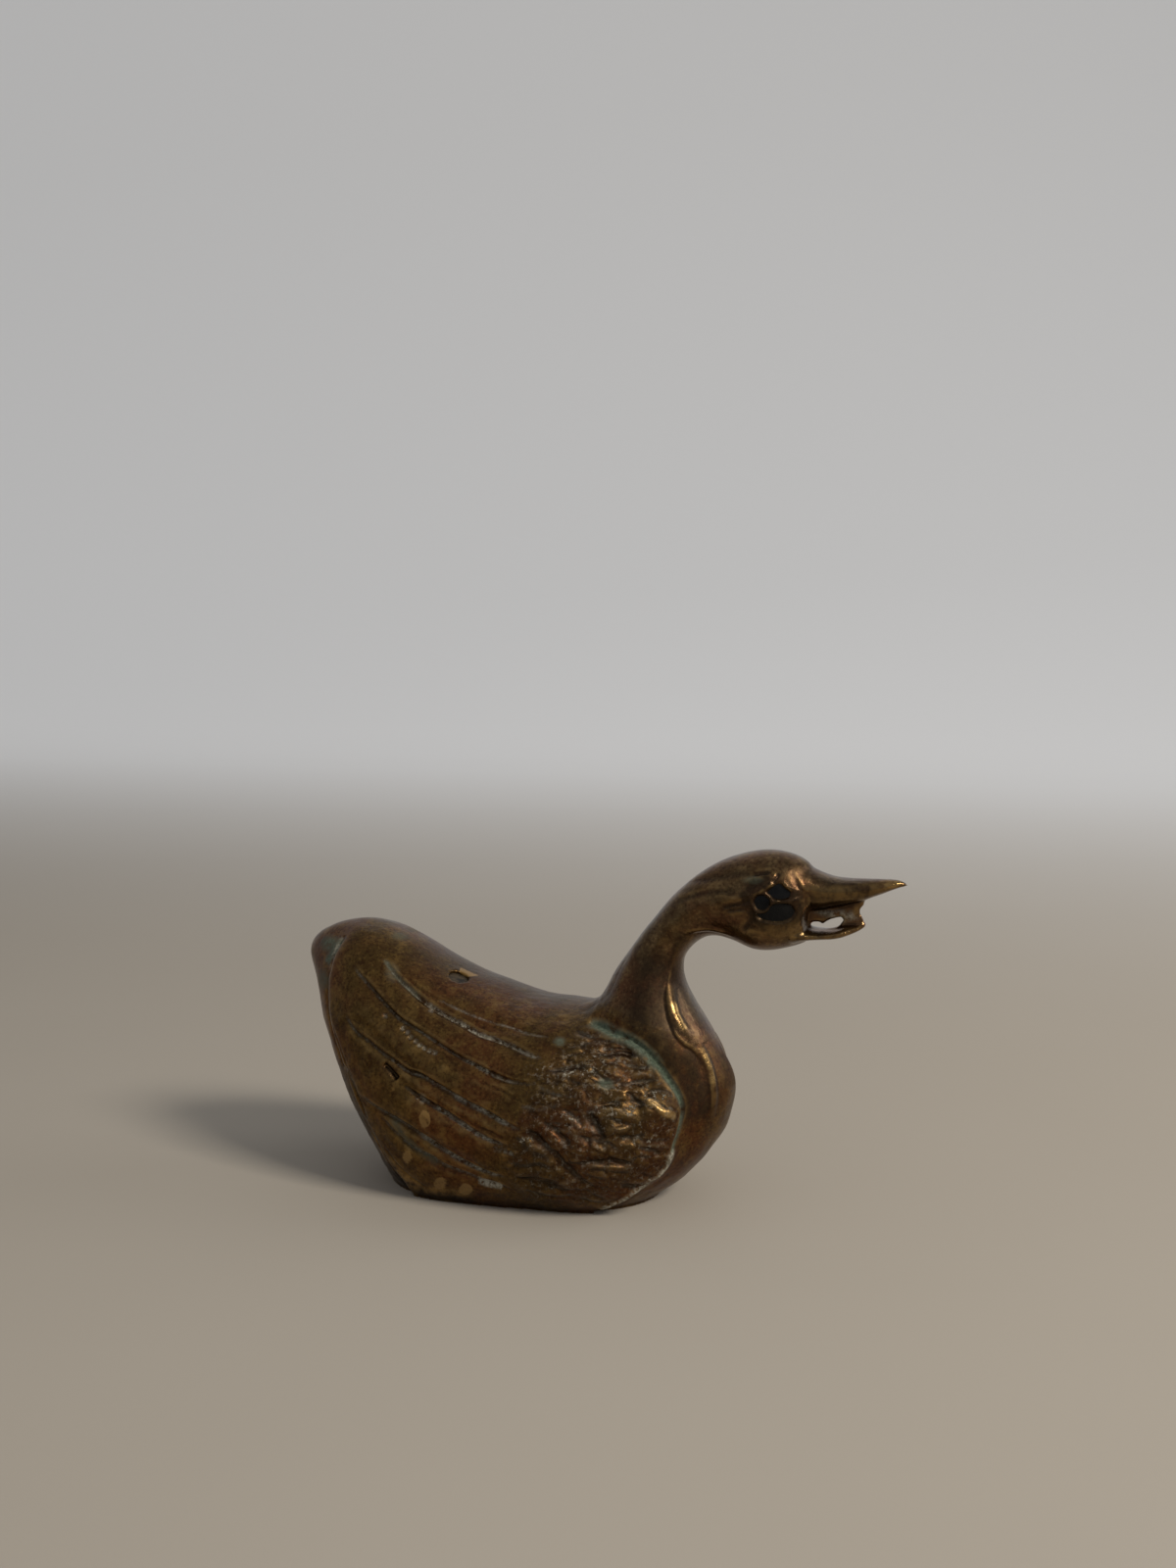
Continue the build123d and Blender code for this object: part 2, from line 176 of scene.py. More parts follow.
# Lines of the head: line, half width and depth or height
HEAD_GROOVES = [
    ([(662, 938), (675, 922), (690, 908), (706, 900), (722, 897), (740, 894), (752, 892), (766, 892)], 0.8, 0.14),
    ([(768, 893), (777, 891), (787, 890)], 0.35, 0.25),
    ([(735, 927), (748, 924), (758, 922), (764, 917)], 0.4, 0.3),
    ([(740, 930), (752, 928), (762, 927)], 0.35, 0.2),
    ([(763, 925), (767, 934), (764, 943), (758, 951)], 0.5, 0.35),
    ([(796, 890), (792, 897), (788, 902)], 0.3, 0.3),
    ([(690, 921), (705, 915), (722, 911), (738, 910), (752, 912)], 0.45, 0.12),
    ([(824, 929), (840, 930), (860, 926), (874, 921)], 0.25, 0.05),
    ([(808, 888), (811, 898), (815, 908)], 0.4, 0.05),
    ([(760, 909), (768, 904), (779, 901)], 0.7, 0.2),
    ([(756, 943), (768, 947), (782, 949)], 0.35, 0.12),
]
HEAD_RIDGES = [
    ([(762, 914), (774, 911), (782, 906), (790, 902)], 0.3, 0.28),
    ([(797, 899), (802, 905), (808, 910)], 0.22, 0.26),
    ([(784, 914), (788, 920), (786, 927), (780, 931), (772, 931), (767, 926)], 0.28, 0.2),
    ([(767, 926), (765, 919), (770, 914), (777, 912), (784, 914)], 0.25, 0.15),
    ([(788, 919), (798, 920), (810, 919), (822, 915)], 0.32, 0.3),
    ([(814, 893), (817, 901), (821, 907), (827, 911)], 0.25, 0.2),
    ([(809, 925), (815, 921), (822, 918)], 0.3, 0.25),
    ([(768, 935), (778, 941), (790, 944), (804, 941), (813, 933)], 0.3, 0.08),
    ([(760, 900), (770, 897), (782, 898)], 0.35, 0.18),
    ([(824, 914), (826, 920), (825, 926)], 0.35, 0.25),
]
# Hollows of the eye, in which the dark inlay shows
EYE_HOLLOWS = [
    [(783, 910), (790, 904), (796, 901), (801, 906), (807, 911), (806, 915), (797, 918), (789, 916)],
    [(769, 920), (772, 915), (778, 914), (784, 918), (784, 925), (779, 929), (772, 928)],
    [(787, 925), (796, 923), (808, 925), (812, 931), (808, 937), (798, 941), (787, 941), (776, 938),
     (772, 934), (781, 934)],
]
# Dip across the top of the tail
TAIL_NOTCH = [(384, 932), (382, 940), (377, 950)]
# Dark slot at the end of one feather, and dots punched along the feathers
DARK_SLOT = [(391, 1086), (398, 1093), (405, 1101)]
PUNCH_DOTS = [(411, 1049), (415, 1053), (419, 1058), (424, 1062), (428, 1066), (433, 1069), (438, 1072),
              (443, 1074), (393, 1036), (505, 1173), (510, 1174), (515, 1175), (521, 1177), (440, 1030)]
# Zones: short feathers, eye, web between the mandibles, polish residue on it, and the bare patch
# beside the plug
SHORT_ZONE = [(556, 1086), (600, 1052), (650, 1068), (688, 1118), (692, 1150), (674, 1196), (640, 1216),
              (600, 1230), (536, 1226), (516, 1190), (528, 1150)]
EYE_INLAY = [(756, 908), (768, 896), (790, 896), (806, 900), (818, 912), (818, 934), (806, 946), (786, 948),
             (768, 944), (758, 928)]
WEB_ZONE = [(826, 926), (850, 925), (874, 921), (880, 935), (887, 943), (874, 953), (826, 951)]
WEB_RESIDUE = [(828, 930), (868, 930), (874, 938), (860, 940), (840, 934)]
PLUG_PATCH = [(468, 992), (471, 984), (480, 981), (492, 983), (503, 990), (498, 994), (484, 996), (474, 997)]
# Painted shadow along the base, painted shade around the eye, on the back, at the front of the wing and on the
# front and side of the neck, and a darker band along the bill
BASE_SHADOW_LINE = [(395, 1184), (405, 1198), (415, 1208), (427, 1215), (444, 1220), (464, 1223), (484, 1225)]
EYE_SHADE = [
    [(756, 908), (761, 918), (766, 930), (775, 942), (788, 947)],
    [(808, 916), (815, 926), (815, 936), (804, 945)],
    [(764, 905), (774, 899), (786, 894)],
]
BILL_SIDE = [(826, 906), (850, 906), (876, 906), (900, 904)]
BACK_SHADE = [(420, 965), (480, 990), (540, 1012), (590, 1022)]
WING_SHADE = [(668, 1084), (680, 1104), (688, 1126), (688, 1150)]
NECK_FRONT = [(712, 990), (714, 1012), (722, 1036), (733, 1056), (743, 1085), (746, 1110)]
NECK_SIDE = [(690, 975), (672, 1005), (666, 1040), (678, 1070), (698, 1092), (708, 1120), (710, 1150)]
# Centres of the spots of residue and painted glints in the short feathers
RESIDUE_AND_GLINT_SPOTS = [(618, 1132), (640, 1133), (672, 1117), (584, 1096), (618, 1080), (660, 1166), (536, 1163),
            (578, 1143), (600, 1095), (550, 1092), (660, 1206)]
# Painted highlights: bright lines on the crests of the neck
CREST_SHINE = [[(686, 1022), (691, 1038), (699, 1051)], [(719, 1074), (724, 1090), (727, 1106)]]
# Polished crests at the front of the neck: line, half width and height
NECK_CRESTS = [
    ([(685, 1004), (685, 1020), (689, 1036), (697, 1049), (706, 1060)], 0.65, 0.3),
    ([(714, 1064), (719, 1076), (724, 1090), (727, 1106), (728, 1124), (725, 1142)], 0.5, 0.36),
]
# Where the outline of the castings still moves: line, shift at its two ends and reach, in pixels
NUDGES = [
    ([(336, 1045), (346, 1080), (362, 1118)], (-4.5, 0), (-4.5, 0), 28),
    ([(822, 927), (850, 924), (874, 919), (888, 914), (902, 910), (918, 905)], (0, 5.5), (0, 0), 8),
    ([(770, 964), (800, 962), (845, 957)], (0, 2.5), (0, 2), 15),
    ([(880, 922), (881, 934)], (3, 0), (3, 0), 7),
    ([(744, 1095), (749, 1114)], (3, 0), (3, 0), 22),
    ([(712, 1184), (698, 1198)], (3, 1.5), (3, 1.5), 22),
    ([(867, 937), (867, 944)], (-6, 0), (-6, 0), 8),
]

turn = np.array(CAMERA_TURN.to_matrix())
camera_at = np.array(CAMERA_MM)


def pixel_rays(points):
    """Unit rays through pixels of the photograph."""
    p = np.asarray(points, float)
    across = (p[:, 0] - IMAGE_WIDTH / 2) / FOCAL_PX
    down = (p[:, 1] - IMAGE_HEIGHT / 2) / FOCAL_PX
    rays = np.stack([across, -down, -np.ones(len(p))], 1) @ turn.T
    return rays / np.linalg.norm(rays, axis=1)[:, None]


def to_pixels(points):
    """Pixels of the photograph at which points in mm are seen."""
    q = (points - camera_at) @ turn
    across = IMAGE_WIDTH / 2 - FOCAL_PX * q[:, X] / q[:, Z]
    down = IMAGE_HEIGHT / 2 + FOCAL_PX * q[:, Y] / q[:, Z]
    return np.stack([across, down], 1)


# Points that a curve gets between two of its given points
SPAN_STEPS = 4


def rounded(points):
    """The points of a curve through the given points."""
    p = np.asarray(points, float)
    p = np.vstack([2 * p[0] - p[1], p, 2 * p[-1] - p[-2]])
    s = np.linspace(0, 1, SPAN_STEPS, endpoint=False)[:, None]
    spans = [
        0.5 * (2 * b + (c - a) * s + (2 * a - 5 * b + 4 * c - d) * s**2 + (3 * b - a - 3 * c + d) * s**3)
        for a, b, c, d in zip(p, p[1:], p[2:], p[3:])
    ]
    return np.vstack([*spans, p[-2]])


def add_object(name, data):
    obj = bpy.data.objects.new(name, data)
    bpy.context.scene.collection.objects.link(obj)
    return obj


def points_of(mesh):
    """The vertices of a mesh in mm."""
    points = np.empty(len(mesh.vertices) * 3)
    mesh.vertices.foreach_get("co", points)
    return points.reshape(-1, 3) / MM


def sides_of(quads):
    return np.vstack([quads[:, [k, (k + 1) % 4]] for k in range(4)])


def edges_of(quads):
    return np.unique(np.sort(sides_of(quads), axis=1), axis=0)


def gather(index, values, count):
    return np.stack([np.bincount(index, values[:, k], count) for k in range(values.shape[1])], 1)


def normals_of(points, quads):
    n = np.cross(points[quads[:, 2]] - points[quads[:, 0]], points[quads[:, 3]] - points[quads[:, 1]])
    total = sum(gather(quads[:, k], n, len(points)) for k in range(4))
    return total / np.maximum(np.linalg.norm(total, axis=1), 1e-12)[:, None]


# How far relaxing pulls a vertex to the middle of its neighbours, and pushes it back after that
PULL, PUSH = 0.5, 0.52


def relax(values, edges, rounds, pull=PULL, push=0.0):
    """Averages values over neighbouring vertices, with an optional push back against shrinking."""
    v = values.copy()
    degree = np.maximum(np.bincount(edges.ravel(), minlength=len(v)), 1)[:, None]
    for _ in range(rounds):
        for factor in (pull, -push) if push else (pull,):
            near = gather(edges[:, 0], v[edges[:, 1]], len(v)) + gather(edges[:, 1], v[edges[:, 0]], len(v))
            v += factor * (near / degree - v)
    return v


def largest_piece(points, quads):
    """Drops the small closed bubbles that a remesh can leave inside."""
    edges = edges_of(quads)
    label = np.arange(len(points))
    while True:
        low = np.minimum(label[edges[:, 0]], label[edges[:, 1]])
        new = label.copy()
        np.minimum.at(new, edges[:, 0], low)
        np.minimum.at(new, edges[:, 1], low)
        new = new[new]
        if np.array_equal(new, label):
            break
        label = new
    names, counts = np.unique(label, return_counts=True)
    keep = label == names[np.argmax(counts)]
    place = np.cumsum(keep) - 1
    return points[keep], place[quads[keep[quads[:, 0]]]]


# One fine mesh of both castings
VOXEL_MM = 0.2
bm = bmesh.new()
for name in ("body_shell", "neck_and_head", "neck_braze_ring", "eye_left", "eye_right"):
    bm.from_mesh(nodes[name].data)
mesh = bpy.data.meshes.new("castings")
bm.to_mesh(mesh)
bm.free()
castings = add_object("castings", mesh)
remesh = castings.modifiers.new("fine", "REMESH")
remesh.mode = "VOXEL"
remesh.voxel_size = VOXEL_MM * MM
graph = bpy.context.evaluated_depsgraph_get()
remeshed = bpy.data.meshes.new_from_object(castings.evaluated_get(graph))
bpy.data.objects.remove(castings)
quads = np.empty(len(remeshed.loops), np.int64)
remeshed.loops.foreach_get("vertex_index", quads)
co, quads = largest_piece(points_of(remeshed), quads.reshape(-1, 4))
edges = edges_of(quads)
co = relax(co, edges, 6, PULL, PUSH)


def linear(values, start, end):
    """0 at the start and 1 at the end, which may also be the lower one."""
    return np.clip((values - start) / (end - start), 0, 1)


def ramp(values, start, end):
    """The same with smooth ends."""
    t = linear(values, start, end)
    return t * t * (3 - 2 * t)


def line_distance(points, line):
    """Distance of points to a line of points, the share along it, and the nearest span's number."""
    nearest = np.full(len(points), 1e9)
    along = np.zeros(len(points))
    span = np.zeros(len(points), int)
    corners = np.asarray(line, float)
    for k, (a, b) in enumerate(zip(corners[:-1], corners[1:])):
        t = np.clip((points - a) @ (b - a) / max((b - a) @ (b - a), 1e-9), 0, 1)
        away = np.linalg.norm(points - a - t[:, None] * (b - a), axis=1)
        closer = away < nearest
        nearest[closer] = away[closer]
        along[closer] = (k + t[closer]) / (len(corners) - 1)
        span[closer] = k
    return nearest, along, span


def middle(box):
    """Middle of a box in mm."""
    low, high = (np.array(corner) / MM for corner in box)
    return (low + high) / 2


def share_in(limits):
    """Share of each vertex in a zone."""
    share = 1.0
    for axis, start, end in limits:
        share = share * ramp(co[:, axis], start, end)
    return share


def melt(points, rounds, share):
    """Smooths away the CAD's sharp forms where share is 1, without shrinking the broad ones."""
    zone = share > 0
    near = (np.cumsum(zone) - 1)[edges[zone[edges].all(1)]]
    local = points[zone]
    soft = relax(local, near, rounds)
    soft += relax(local - soft, near, rounds)
    out = points.copy()
    out[zone] += share[zone, None] * (soft - local)
    return out


# Zones smoothed before the carving: for each limit its axis and the places in mm where the share is 0 and 1
WINGS = [(X, 20.0, 18.0), (Z, 0.3, 2.5), (Z, 31.0, 27.0)]
TAIL = [(X, -16.0, -19.0), (Z, 0.3, 2.5)]
RUMP = [(X, -14.0, -18.0), (Z, 26.0, 30.0)]
BREAST = [(X, 9.0, 13.0), (Z, 2.0, 6.0), (Z, 22.0, 17.0)]
MOUTH_CORNER = [(X, 22.5, 24.0), (X, 28.0, 26.8), (Z, 34.2, 35.2), (Z, 39.5, 38.3)]
# Smoothing sets in between these distances from the plug and the middle plane, and around the foot, in mm
PLUG_REACH, WEB_REACH = (2.2, 4.0), (0.45, 0.9)
FOOT_REACH, FOOT_SHARES, FOOT_HEIGHTS = (12.0, 12.0, 9.0), (1.3, 0.75), (9.0, 13.0)

off_plug = ramp(np.linalg.norm(co - middle(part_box("core_pin_plug")), axis=1), *PLUG_REACH)
co = melt(co, 60, np.maximum(share_in(WINGS), share_in(TAIL)) * off_plug)
from_foot = np.linalg.norm((co - middle(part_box("neck_braze_ring"))) / FOOT_REACH, axis=1)
co = melt(co, 400, ramp(from_foot, *FOOT_SHARES) * ramp(co[:, Z], *FOOT_HEIGHTS) * off_plug)
co = melt(co, 200, share_in(RUMP))
co = melt(co, 250, share_in(BREAST))
co = melt(co, 110, share_in(MOUTH_CORNER) * ramp(np.abs(co[:, Y]), *WEB_REACH))

# Small shifts of the outline, the same on both sides. The base stays on the floor.
LIFT_HEIGHTS = (0.3, 3.0)
seen = to_pixels(co * (1, 0, 1) - np.abs(co) * (0, 1, 0))
shift = np.zeros((len(co), 2))
for line, first_move, last_move, reach in NUDGES:
    away, along, _ = line_distance(seen, line)
    move = np.array(first_move) + along[:, None] * (np.array(last_move) - first_move)
    shift += np.exp(-(away / reach) ** 2)[:, None] * move
pixel_sizes = np.linalg.norm(co - camera_at, axis=1) / FOCAL_PX
co[:, X] += shift[:, 0] * pixel_sizes / turn[0, 0]
co[:, Z] -= shift[:, 1] * pixel_sizes * ramp(co[:, Z], *LIFT_HEIGHTS)
low_mm = np.array(cad_low) / MM
high_mm = np.array(cad_high) / MM

# The remesh rounds off the bill's tip and the tail, so both are drawn out to the CAD's length again
TIP_ZONE_MM = 5.0
for end, sign in ((high_mm[X], 1), (low_mm[X], -1)):
    reach = (co[:, X] * sign).max()
    zone = co[:, X] * sign > reach - TIP_ZONE_MM
    share = (co[zone, X] * sign - (reach - TIP_ZONE_MM)) / TIP_ZONE_MM
    co[zone, X] += sign * (end * sign - reach) * share

base = co.copy()
base_normals = normals_of(relax(base, edges, 12, PULL, PUSH), quads)
tree = BVHTree.FromPolygons([tuple(p) for p in base], [tuple(q) for q in quads])


def cast(points):
    """Points and normals of the model under pixels of the photograph."""
    found, facing = [], []
    for ray in pixel_rays(points):
        place, normal, _, _ = tree.ray_cast(Vector(camera_at), Vector(ray))
        if place is not None:
            found.append(place)
            facing.append(normal)
    return np.array(found), np.array(facing)


# Least cosine between the normals of a line and of a vertex on the same surface
LEAST_COSINE = 0.15


def near_line(line, facing, reach):
    """Vertices near a line: index, distance, share along it and side (1 above, -1 below)."""
    low, high = line.min(0) - reach, line.max(0) + reach
    index = np.where(np.all((base > low) & (base < high), axis=1))[0]
    p, n = base[index], base_normals[index]
    away, along, k = line_distance(p, line)
    side = np.sign((np.cross(line[k + 1] - line[k], p - line[k]) * n).sum(1))
    keep = (away < reach) & ((n * facing[k]).sum(1) > LEAST_COSINE)
    return index[keep], away[keep], along[keep], side[keep]


FLIP = {NEAR: np.ones(3), FAR: MIRROR}


def both_sides(points):
    """A line of pixels cast on the near side, and its mirror on the far side."""
    line, facing = cast(rounded(points))
    return [(line * flip, facing * flip, hand) for hand, flip in FLIP.items()]


def seen_side(hand, zone=True, least=0.05):
    """Vertices in a zone that face one side, and their pixels as if they were on the near side."""
    index = np.where(zone & (base_normals[:, Y] * hand < -least))[0]
    return index, to_pixels(base[index] * FLIP[hand])


def taper(along, ends):
    """1 along most of a stroke, falling to 0 at its two ends."""
    return np.clip(np.minimum(along, 1 - along) / ends, 0, 1) ** 0.7


# Carving in mm: cuts, raised lines and broad forms
cut = np.zeros(len(base))
raised = np.zeros(len(base))
form = np.zeros(len(base))

# Grooves, in half widths: reach and width of a shoulder, place and width of a lip, and the reach and the
# two sides of a groove that leans. Reach of a ridge in half widths, and of a terrace in runs.
SHOULDER_REACH, SHOULDER_WIDTH = 3.2, 1.5
LIP_PLACE, LIP_WIDTH = 1.5, 0.5
LEAN_REACH, STEEP_SIDE, GENTLE_SIDE = 2.4, 0.55, 2.2
RIDGE_REACH, TERRACE_REACH = 1.6, 3
STEP_MM = 0.12


def groove(points, half_width, depth, shoulder=0.0, ends=0.18, lean=False, lip=0.0):
    """A V-shaped groove, with a wide shallow shoulder and a lip if given, or leaning to one side."""
    for line, facing, hand in both_sides(points):
        reach = SHOULDER_REACH if shoulder else LEAN_REACH if lean else 1
        i, d, along, side = near_line(line, facing, half_width * reach)
        fade = taper(along, ends)
        if lean:
            d = d / np.where(side * hand > 0, STEEP_SIDE, GENTLE_SIDE)
        shape = np.clip(1 - d / half_width, 0, 1) ** 0.9 * depth
        if shoulder:
            shape = shape + np.exp(-((d / (SHOULDER_WIDTH * half_width)) ** 2)) * shoulder
        cut[i] = np.minimum(cut[i], -shape * fade)
        if lip:
            crest = np.exp(-(((d / half_width - LIP_PLACE) / LIP_WIDTH) ** 2)) * (side * hand > 0)
            raised[i] = np.maximum(raised[i], crest * lip * fade)


def ridge(points, half_width, height, ends=0.25):
    """A rounded ridge."""
    reach = half_width * RIDGE_REACH
    for line, facing, _ in both_sides(points):
        i, d, along, _ = near_line(line, facing, reach)
        shape = np.clip(1 - (d / reach) ** 2, 0, 1) ** 1.5
        raised[i] = np.maximum(raised[i], shape * height * taper(along, ends))


def terrace(points, height, run, low_side, ends):
    """A step: the surface on one side of the line lies lower and rises again over the run."""
    for line, facing, hand in both_sides(points):
        i, d, along, side = near_line(line, facing, run * TERRACE_REACH)
        s = d * side * low_side * hand
        drop = np.where(s > 0, np.exp(-s / run), np.exp(s / STEP_MM))
        form[i] -= height * drop * taper(along, ends)


def inside_polygon(points, polygon):
    """Signed distance in pixels to a polygon, positive inside."""
    poly = np.asarray(polygon, float)
    inside = np.zeros(len(points), bool)
    for a, b in zip(poly, np.roll(poly, -1, 0)):
        crosses = (a[1] > points[:, 1]) != (b[1] > points[:, 1])
        rise = b[1] - a[1] if b[1] != a[1] else 1e-9
        at_x = a[0] + (points[:, 1] - a[1]) * (b[0] - a[0]) / rise
        inside ^= crosses & (points[:, 0] < at_x)
    nearest, _, _ = line_distance(points, np.vstack([poly, poly[:1]]))
    return np.where(inside, nearest, -nearest)


# Long feathers and the wing's edges
for line in LONG_FEATHERS:
    groove(line, 0.28, 0.2, 0.14, 0.16, lip=0.12)
    terrace(line, 0.22, 1.8, -1, 0.2)
for line in FINE_LINES:
    groove(line, 0.24, 0.14)
groove(WING_FRONT[:12], 0.55, 0.28, 0.1, 0.05)
terrace(WING_FRONT, 0.4, 2.2, 1, 0.05)
groove(WING_REAR, 0.4, 0.25, 0.12, 0.05)
ridge(WING_FRONT[11:], 0.6, 0.38, 0.06)
groove(DARK_SLOT, 0.42, 0.7, ends=0.04)
groove(TAIL_NOTCH, 2.2, 0.15, ends=0.5)
# Neck and back
terrace(NECK_EDGE, 0.25, 1.8, -1, 0.3)
groove(BACK_CREASE, 1.4, 0.12)
groove(JOINT_CREASE, 0.3, 0.08)
ridge(THROAT_FACET, 0.4, 0.2)
# Lists of lines, with the shares of their read widths and depths that are carved
for carve, lines, width_share, depth_share, options in (
    (groove, SHORT_CUTS, 0.7, 0.6, {"lean": True}),
    (ridge, SHORT_RIDGES, 0.7, 0.6, {}),
    (ridge, NECK_CRESTS, 1, 1, {"ends": 0.35}),
    (groove, HEAD_GROOVES, 1, 1, {}),
    (ridge, HEAD_RIDGES, 0.6, 0.45, {}),
):
    for points, half_width, depth in lines:
        carve(points, half_width * width_share, depth * depth_share, **options)

# Eye hollows: depth in mm, and the pixels outside their outline and on over which they deepen
HOLLOW_MM, HOLLOW_START, HOLLOW_RUN = 0.6, 1.8, 2.2
head_side = (base[:, X] > 14) & (base[:, Z] > 30)
for hand in (NEAR, FAR):
    chosen, seen = seen_side(hand, head_side, LEAST_COSINE)
    for polygon in EYE_HOLLOWS:
        depth_in = np.clip((inside_polygon(seen, polygon) + HOLLOW_START) / HOLLOW_RUN, 0, 1)
        cut[chosen] = np.minimum(cut[chosen], -HOLLOW_MM * depth_in)

# Punched dots, in mm
DOT_RADIUS, DOT_DEPTH = 0.45, 0.25
dots, _ = cast(PUNCH_DOTS)
for centre in dots:
    for flip in FLIP.values():
        d = np.linalg.norm(base - centre * flip, axis=1)
        near = d < DOT_RADIUS
        cut[near] = np.minimum(cut[near], -DOT_DEPTH * (1 - d[near] / DOT_RADIUS))

# Masks for the materials, each from 0 to about 1 at every vertex
MASKS = ("verdigris", "residue", "specks", "ochre", "gold", "dark", "calm", "matte", "copper", "chisel")
masks = {name: np.zeros(len(base)) for name in MASKS}
# Edge of a stroke, in half widths, and of an oval, in radii, with the oval's reach and least cosine
STROKE_EDGE = 1.5
OVAL_EDGE, OVAL_REACH, OVAL_COSINE = 1.6, 2.2, 0.1


def paint(name, points, half_width, strength, ends=0.1):
    """Raises a mask along a line of pixels."""
    for line, facing, _ in both_sides(points):
        i, d, along, _ = near_line(line, facing, half_width * STROKE_EDGE)
        value = np.clip(STROKE_EDGE - d / half_width, 0, 1) * strength * taper(along, ends)
        masks[name][i] = np.maximum(masks[name][i], value)


def blotch(name, centre, across, down, strength, hands=(NEAR, FAR)):
    """Raises a mask in an oval of pixels, on the near side and mirrored."""
    line, facing = cast([centre])
    reach = max(across, down) * PIXEL_MM * OVAL_REACH
    for hand in hands:
        place, way = line[0] * FLIP[hand], facing[0] * FLIP[hand]
        i = np.where(np.linalg.norm(base - place, axis=1) < reach)[0]
        i = i[(base_normals[i] @ way) > OVAL_COSINE]
        seen = to_pixels(base[i] * FLIP[hand])
        r = np.hypot((seen[:, 0] - centre[0]) / across, (seen[:, 1] - centre[1]) / down)
        masks[name][i] = np.maximum(masks[name][i], np.clip(OVAL_EDGE - r, 0, 1) * strength)


def patch(name, polygon, strength, soft_px, zone=True, hands=(NEAR, FAR)):
    """Raises a mask inside a polygon of pixels, on the near side and mirrored."""
    for hand in hands:
        i, seen = seen_side(hand, zone)
        value = np.clip(inside_polygon(seen, polygon) / soft_px + 0.5, 0, 1) * strength
        masks[name][i] = np.maximum(masks[name][i], value)


# Chiselled facets of the short feathers: seeded planes in cells of pixels, lifted and tilted in mm
FACET_PX = (22.0, 11.0)
FACET_TURN = radians(14)
FACET_SHIFT, FACET_LIFT, FACET_TILT = 0.42, (-0.05, 0.08), 0.26
BORDER_SHARE, BORDER_DEPTH = 0.3, 0.04
patch("chisel", SHORT_ZONE, 1.0, 14.0)
facet_random = np.random.default_rng(11)
facet_axes = np.array([[cos(FACET_TURN), -sin(FACET_TURN)], [sin(FACET_TURN), cos(FACET_TURN)]])
zone_px = np.array(SHORT_ZONE) @ facet_axes / FACET_PX
steps = [np.arange(zone_px[:, k].min() - 1, zone_px[:, k].max() + 1) for k in (0, 1)]
seeds = np.stack(np.meshgrid(*steps), -1).reshape(-1, 2)
seeds += facet_random.uniform(-FACET_SHIFT, FACET_SHIFT, seeds.shape)
facet_lift = facet_random.uniform(*FACET_LIFT, len(seeds))
facet_tilt = facet_random.uniform(-FACET_TILT, FACET_TILT, seeds.shape)
for hand in (NEAR, FAR):
    chosen, seen = seen_side(hand, masks["chisel"] > 0)
    seen = seen @ facet_axes / FACET_PX
    away = np.linalg.norm(seen[:, None] - seeds[None], axis=2)
    order = np.argsort(away, axis=1)[:, :2]
    first = order[:, 0]
    gap = np.take_along_axis(away, order, 1)
    border = ramp(gap[:, 1] - gap[:, 0], 0.0, BORDER_SHARE)
    plane = facet_lift[first] + (facet_tilt[first] * (seen - seeds[first])).sum(1)
    form[chosen] += masks["chisel"][chosen] * (plane * border - BORDER_DEPTH * (1 - border))

# Strokes: line, half width in mm, strength, and the share over which each end fades
STROKES = {
    "verdigris": [
        (WING_FRONT[:7], 0.72, 1.0), (WING_FRONT[4:10], 0.45, 1.0), (WING_FRONT[9:13], 0.45, 0.95),
        ([(349, 957), (343, 965), (337, 975), (333, 984)], 0.7, 0.9), (LONG_FEATHERS[0][:4], 0.3, 0.5),
        ([(398, 1140), (412, 1160), (430, 1176), (448, 1188)], 0.5, 0.4),
    ],
    "residue": [
        (WING_FRONT[11:], 0.6, 2.0, 0.04), ([(350, 955), (343, 966), (337, 978)], 0.4, 0.7),
        (WING_REAR[3:8], 0.25, 0.5), (LONG_FEATHERS[0][3:], 0.22, 1.1), (FINE_LINES[0][3:], 0.13, 0.6),
        (LONG_FEATHERS[1][2:6], 0.2, 0.35), (LONG_FEATHERS[1][8:11], 0.22, 1.1),
        (LONG_FEATHERS[2][9:14], 0.26, 0.9), (LONG_FEATHERS[3][2:], 0.25, 0.95),
        (LONG_FEATHERS[4][4:], 0.27, 1.0), ([(488, 1204), (498, 1208), (512, 1211)], 0.5, 2.0, 0.02),
    ],
    # Painted highlights on a ridge at the front of the wing and on the bill's tip, beside lighter brass by the
    # base
    "gold": [
        ([(378, 1155), (392, 1178), (410, 1200), (430, 1214)], 1.2, 0.75),
        ([(430, 1214), (455, 1216), (482, 1219)], 0.7, 0.6),
        ([(660, 1122), (668, 1128), (678, 1136), (690, 1140)], 0.35, 1.0),
        ([(902, 906), (909, 903), (917, 900)], 0.4, 1.0),
    ],
    "copper": [
        ([(800, 888), (810, 898), (818, 910), (818, 924)], 2.0, 0.25), (NECK_STRIP, 1.8, 0.3),
    ],
    # Painted shadow along the base where it meets the floor, and painted shade in the back's crease, over the
    # back, on the front and side of the neck and at the front of the wing. The slot, the bill's side and the top
    # of the neck's edge are darkened too.
    "dark": [
        (BASE_SHADOW_LINE, 0.7, 1.6, 0.05), (DARK_SLOT, 0.45, 1.0, 0.04), (BACK_CREASE, 1.3, 0.4), (BACK_SHADE, 3.5, 0.5),
        (BILL_SIDE, 1.4, 0.8), (NECK_EDGE[:6], 0.6, 0.5), (NECK_FRONT, 2.2, 0.75), (NECK_SIDE, 3.1, 1.3),
        (WING_SHADE, 1.8, 0.9),
    ],
    "matte": [(NECK_FRONT, 2.0, 0.8), (NECK_SIDE, 2.0, 1.0), (WING_SHADE, 1.8, 0.6)],
    "calm": [(DARK_SLOT, 0.8, 1.0, 0.02)],
}
